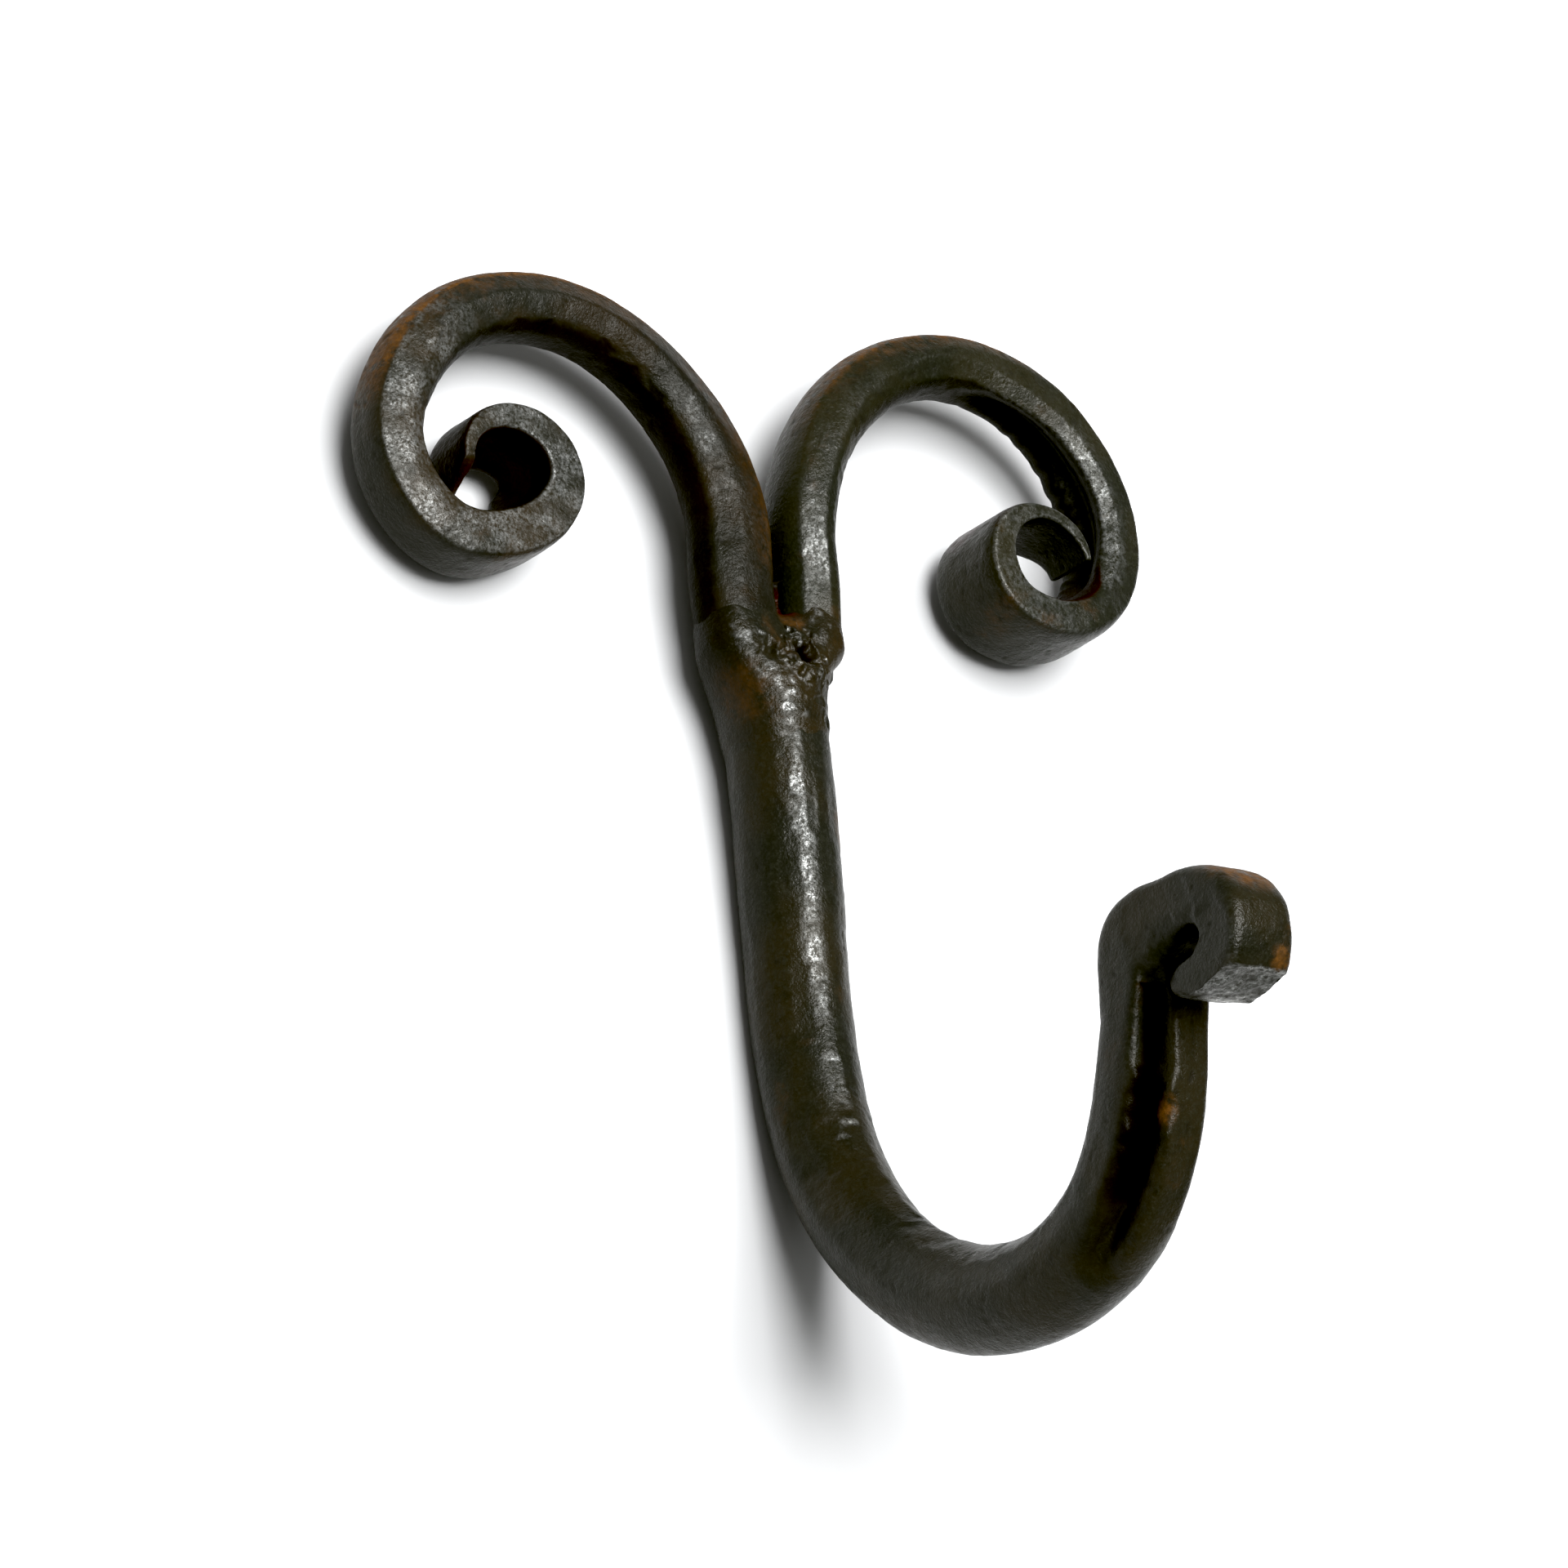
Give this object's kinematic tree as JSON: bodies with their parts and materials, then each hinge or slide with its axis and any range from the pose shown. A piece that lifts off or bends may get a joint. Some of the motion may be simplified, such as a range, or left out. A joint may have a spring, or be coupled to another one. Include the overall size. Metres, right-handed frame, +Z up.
{
  "type": "shutter dog holdback",
  "caption": "Hand-forged iron wall hook with twin ram's-horn scrolls ending in screw eyes and a round-bar J hook with a rolled tip.",
  "frame": {"origin": "on the wall plane behind the shank, at the middle of the upper end of the flat on the shank's back, 4 mm below the fork weld", "axes": "+Z up along the shank, +Y into the wall, -Y the way the hook projects, +X to the right seen from the room"},
  "size_m": [0.0882, 0.0701, 0.1134],
  "materials": {
    "forged_iron": "black forged mild steel, oiled and lightly rusted, semi-gloss",
    "worn_iron": "forged mild steel with a filed grey front edge and brown rust on the outer skin",
    "horn_iron": "black forged mild steel, oiled, brown rust on the outer skin and in the eye",
    "weld_metal": "lumpy, pitted weld metal with rust in the crotch"
  },
  "bodies": {
    "root": {"hook_shank": "forged_iron", "left_horn": "worn_iron", "right_horn": "horn_iron", "fork_weld": "weld_metal"}
  },
  "joints": []
}
